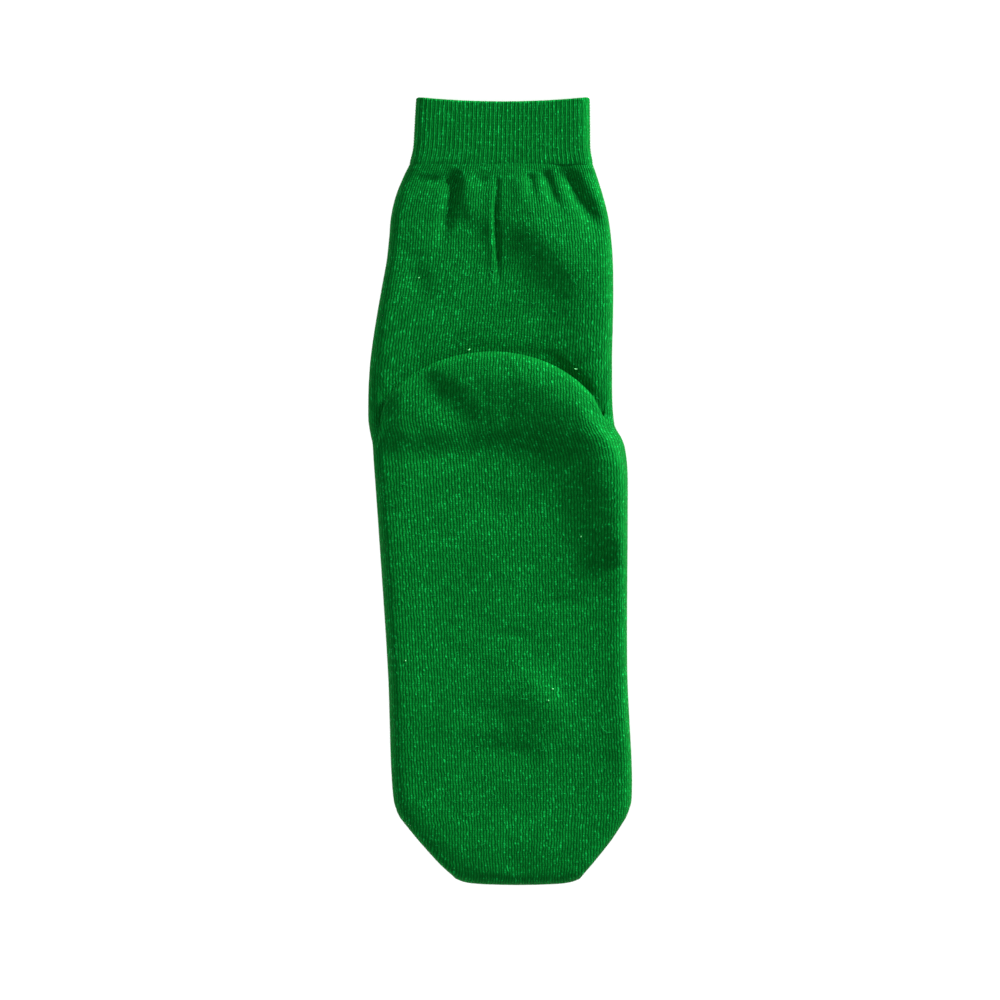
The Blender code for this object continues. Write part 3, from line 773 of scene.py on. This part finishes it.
class Nodes:
    """A short way to write a material's nodes."""

    def __init__(self, material):
        material.use_nodes = True
        self.tree = material.node_tree
        self.shader = self.tree.nodes["Principled BSDF"]

    def add(self, kind, **settings):
        node = self.tree.nodes.new(kind)
        for key, value in settings.items():
            setattr(node, key, value)
        return node

    def put(self, socket, value):
        if hasattr(value, "is_output"):
            self.tree.links.new(value, socket)
        else:
            socket.default_value = value

    def math(self, operation, *values):
        node = self.add("ShaderNodeMath", operation=operation)
        for socket, value in zip(node.inputs, values):
            self.put(socket, value)
        return node.outputs[0]

    def noise(self, vector, scale, detail=2.0):
        node = self.add("ShaderNodeTexNoise")
        self.put(node.inputs["Vector"], vector)
        node.inputs["Scale"].default_value = scale
        node.inputs["Detail"].default_value = detail
        return node.outputs["Fac"]

    def ramp(self, factor, *stops):
        node = self.add("ShaderNodeValToRGB")
        while len(node.color_ramp.elements) < len(stops):
            node.color_ramp.elements.new(0.5)
        for element, (place, colour) in zip(node.color_ramp.elements, stops):
            element.position = place
            element.color = (*colour, 1.0)
        self.put(node.inputs["Fac"], factor)
        return node.outputs["Color"]

    def bump(self, height, depth):
        node = self.add("ShaderNodeBump")
        node.inputs["Strength"].default_value = 1.0
        node.inputs["Distance"].default_value = depth
        self.put(node.inputs["Height"], height)
        self.put(self.shader.inputs["Normal"], node.outputs["Normal"])


def matte(shader, colour, roughness, specular, tint, sheen=0.0):
    shader.inputs["Base Color"].default_value = (*colour, 1.0)
    shader.inputs["Roughness"].default_value = roughness
    shader.inputs["Specular IOR Level"].default_value = specular
    shader.inputs["Specular Tint"].default_value = (*tint, 1.0)
    shader.inputs["Sheen Weight"].default_value = sheen
    shader.inputs["Sheen Roughness"].default_value = 0.6
    shader.inputs["Sheen Tint"].default_value = (*tint, 1.0)


# Colours of the yarns, the floor and the gloss, and the tones at which the knit takes each of its greens
GREEN_TINT = (0.05, 0.90, 0.25)
KNIT_GREEN = (0.0014, 0.140, 0.0165)
KNIT_TONES = (
    (0.57, (0.0013, 0.098, 0.0130)),
    (0.74, KNIT_GREEN),
    (0.90, (0.0022, 0.200, 0.0260)),
    (1.00, (0.0055, 0.400, 0.0680)),
)
SEAM_GREEN = (0.0016, 0.110, 0.0150)
FIBRE_GREEN = (0.0060, 0.3300, 0.0600)
LINT_GREEN = (0.24, 0.95, 0.36)
PAPER_WHITE = (0.92, 0.92, 0.92)

# The knit's pattern: how far a wale wanders, how far a stitch slants, in wales and courses, and how fast a
# wale's brightness changes from course to course and from its neighbour's
WALE_WANDER = 0.9
STITCH_SLANT = 0.5
STREAK_RATE = 0.45
STREAK_OFFSET = 7.31

# How fine each noise is, in turns a metre
WANDER_GRAIN = 420.0
FIBRE_GRAIN = 1700.0
THREAD_GRAIN = 3200.0
BROAD_PATCH_GRAIN = 75.0
SMALL_PATCH_GRAIN = 300.0

# What each part of the pattern adds to the height of the stitches
YARN_RISE = 0.72
LOOP_RISE = 0.16
STREAK_RISE = 1.1
STITCH_RISE = 0.26
FIBRE_RISE = 0.60

# What height, patches and the few bright stitches add to the tone. The height's share is partly painted
# shade, darker in the gaps between wales and between loops, and partly random tone from streaks, stitches and
# fibres
GAP_SHADE_AND_HEIGHT_TONE = 0.37
PATCH_TONE = 0.16
SPARK_TONE = 4.0

# Depth of the pattern's bump, in metres
PLAIN_BUMP = 0.00042
RIB_BUMP = 0.00028
THREAD_BUMP = 0.00004


def knit_material(name, ribbed):
    """Stitches as small V shapes in wales and courses, uneven from stitch to stitch and patchy, with painted
    shade darkening the gaps between wales and between loops.
    """
    material = bpy.data.materials.new(name)
    n = Nodes(material)
    matte(n.shader, KNIT_GREEN, roughness=0.92, specular=0.04, tint=GREEN_TINT)
    uv = n.add("ShaderNodeUVMap", uv_map="knit").outputs["UV"]
    split = n.add("ShaderNodeSeparateXYZ")
    n.put(split.inputs[0], uv)
    wale, course = split.outputs["X"], split.outputs["Y"]
    place = n.add("ShaderNodeTexCoord").outputs["Object"]

    # 0 at the middle of a wale and 1 at the gap between two, each wale wandering a little
    wander = n.math("MULTIPLY_ADD", n.noise(place, WANDER_GRAIN, 1.0), WALE_WANDER, wale)
    from_middle = n.math("ABSOLUTE", n.math("MULTIPLY_ADD", n.math("FRACT", wander), 2.0, -1.0))
    slant = n.math("MULTIPLY_ADD", from_middle, STITCH_SLANT, course)
    loop = n.math("SINE", n.math("MULTIPLY", n.math("FRACT", slant), math.pi))
    yarn = n.math("SUBTRACT", 1.0, n.math("POWER", from_middle, 2.0))

    # each stitch differs a little from the next, and each wale has brighter and darker stretches
    stitch = n.add("ShaderNodeCombineXYZ")
    n.put(stitch.inputs[0], n.math("FLOOR", wander))
    n.put(stitch.inputs[1], n.math("FLOOR", slant))
    chance = n.add("ShaderNodeTexWhiteNoise", noise_dimensions="2D")
    n.put(chance.inputs["Vector"], stitch.outputs[0])
    luck = chance.outputs["Value"]
    stretch = n.add("ShaderNodeCombineXYZ")
    n.put(stretch.inputs[0], n.math("MULTIPLY", n.math("FLOOR", wander), STREAK_OFFSET))
    n.put(stretch.inputs[1], n.math("MULTIPLY", course, STREAK_RATE))
    streak = n.noise(stretch.outputs[0], 1.0, 4.0)
    fibre = n.noise(place, FIBRE_GRAIN, 4.0)
    height = n.math("MULTIPLY", yarn, n.math("MULTIPLY_ADD", loop, LOOP_RISE, YARN_RISE))
    height = n.math("MULTIPLY_ADD", streak, STREAK_RISE, height)
    height = n.math("MULTIPLY_ADD", luck, STITCH_RISE, height)
    height = n.math("MULTIPLY_ADD", fibre, FIBRE_RISE, height)

    patches = n.math("ADD", n.noise(place, BROAD_PATCH_GRAIN, 3.0), n.noise(place, SMALL_PATCH_GRAIN))
    # the stitches' height darkens the gaps between wales and between loops, which is painted shade; streaks,
    # stitches and fibres add random tone
    tone_with_gap_shade = n.math("MULTIPLY_ADD", height, GAP_SHADE_AND_HEIGHT_TONE, n.math("MULTIPLY", patches, PATCH_TONE))
    bright_stitch = n.math("MULTIPLY", n.math("POWER", streak, 6.0), n.math("POWER", luck, 2.0))
    spark = n.math("MULTIPLY", bright_stitch, n.math("MULTIPLY", n.math("POWER", yarn, 4.0), loop))
    tone_with_gap_shade = n.math("MULTIPLY_ADD", spark, SPARK_TONE, tone_with_gap_shade)
    n.put(n.shader.inputs["Base Color"], n.ramp(tone_with_gap_shade, *KNIT_TONES))
    n.bump(height, RIB_BUMP if ribbed else PLAIN_BUMP)
    return material


def thread_material(name, colour, roughness):
    """Spun thread: fine streaks of lighter and darker fibre."""
    material = bpy.data.materials.new(name)
    n = Nodes(material)
    matte(n.shader, colour, roughness, specular=0.12, tint=GREEN_TINT, sheen=0.05)
    place = n.add("ShaderNodeTexCoord").outputs["Object"]
    fibre = n.noise(place, THREAD_GRAIN)
    dark, light = (tuple(share * factor for share in colour) for factor in (0.6, 1.5))
    n.put(n.shader.inputs["Base Color"], n.ramp(fibre, (0.35, dark), (0.65, light)))
    n.bump(fibre, THREAD_BUMP)
    return material


plain_knit = knit_material("plain_green_knit", ribbed=False)
rib_knit = knit_material("ribbed_green_knit", ribbed=True)
seam_thread = thread_material("green_linking_thread", SEAM_GREEN, 0.85)
loose_yarn = thread_material("loose_green_fibre", FIBRE_GREEN, 0.80)
pale_lint = thread_material("pale_lint", LINT_GREEN, 0.90)

body = make_body(plain_knit)
cuff = make_cuff(rib_knit)
for piece in (body, cuff):
    for vert in piece.data.vertices:
        vert.co.x -= SHIFT
stitches = make_seam(seam_thread)
top = surface_of(body, cuff)
curls = make_fibres("loose_fibres", FIBRES, top, FIBRE_RADIUS, FIBRE_STEPS, loose_yarn)
short_fuzz = make_fibres("short_fuzz", fuzz(), top, FUZZ_RADIUS, FUZZ_STEPS, loose_yarn)
lint = make_fibres("lint_specks", LINT, top, LINT_RADIUS, LINT_STEPS, pale_lint)

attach(body, "root")
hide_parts("knit_body")
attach(cuff, "root")
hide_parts("knit_body")
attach(stitches, "root")
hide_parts("toe_seam")
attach(curls, "root")
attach(short_fuzz, "root")
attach(lint, "root")


FLOOR_HALF_SIZE = 4.0
FLOOR_CLEARANCE = 0.0002


def make_floor():
    """White paper that reaches past every view."""
    bm = bmesh.new()
    bmesh.ops.create_grid(bm, x_segments=2, y_segments=2, size=FLOOR_HALF_SIZE)
    mesh = bpy.data.meshes.new("floor")
    bm.to_mesh(mesh)
    bm.free()
    material = bpy.data.materials.new("white_paper")
    n = Nodes(material)
    matte(n.shader, PAPER_WHITE, roughness=0.9, specular=0.1, tint=(1.0, 1.0, 1.0))
    mesh.materials.append(material)
    floor = bpy.data.objects.new("floor", mesh)
    bpy.context.scene.collection.objects.link(floor)
    floor.location.z = -FLOOR_CLEARANCE
    return floor


floor = make_floor()


def area_light(name, place, size, power, receivers):
    """A square soft light aimed at the sock, which lights only the receivers."""
    data = bpy.data.lights.new(name, "AREA")
    data.size = size
    data.energy = power
    light = bpy.data.objects.new(name, data)
    bpy.context.scene.collection.objects.link(light)
    light.location = place
    light.rotation_euler = (-Vector(place)).to_track_quat("-Z", "Y").to_euler()
    group = bpy.data.collections.new(name + "_receivers")
    for receiver in receivers:
        group.objects.link(receiver)
    light.light_linking.receiver_collection = group


# A low window beyond the cuff's right corner draws out the folds; the overhead light whitens the floor alone
WINDOW_PLACE = (1.34, 1.34, 0.50)
OVERHEAD_PLACE = (0.0, 0.0, 2.5)
SKY_STRENGTH = 0.56

dressed = (body, cuff, stitches, curls, short_fuzz, lint)
area_light("window", WINDOW_PLACE, size=0.40, power=97.0, receivers=dressed)
area_light("overhead", OVERHEAD_PLACE, size=2.5, power=105.0, receivers=(floor,))

world = bpy.data.worlds.new("studio")
world.use_nodes = True
sky = world.node_tree.nodes["Background"]
sky.inputs["Color"].default_value = (1.0, 1.0, 1.0, 1.0)
sky.inputs["Strength"].default_value = SKY_STRENGTH
bpy.context.scene.world = world
bpy.context.scene.view_settings.view_transform = "Standard"

# Straight down from far above, as a flat lay is photographed
CAMERA_HEIGHT = 3.0
CAMERA_ALONG = -0.0032
VIEW_SIZE = 0.42
camera_data = bpy.data.cameras.new("camera")
camera_data.lens = camera_data.sensor_width * (CAMERA_HEIGHT - FOOT_HEIGHT) / VIEW_SIZE
camera_data.clip_end = 20.0
camera = bpy.data.objects.new("camera", camera_data)
bpy.context.scene.collection.objects.link(camera)
camera.location = (0.0, CAMERA_ALONG, CAMERA_HEIGHT)
bpy.context.scene.camera = camera
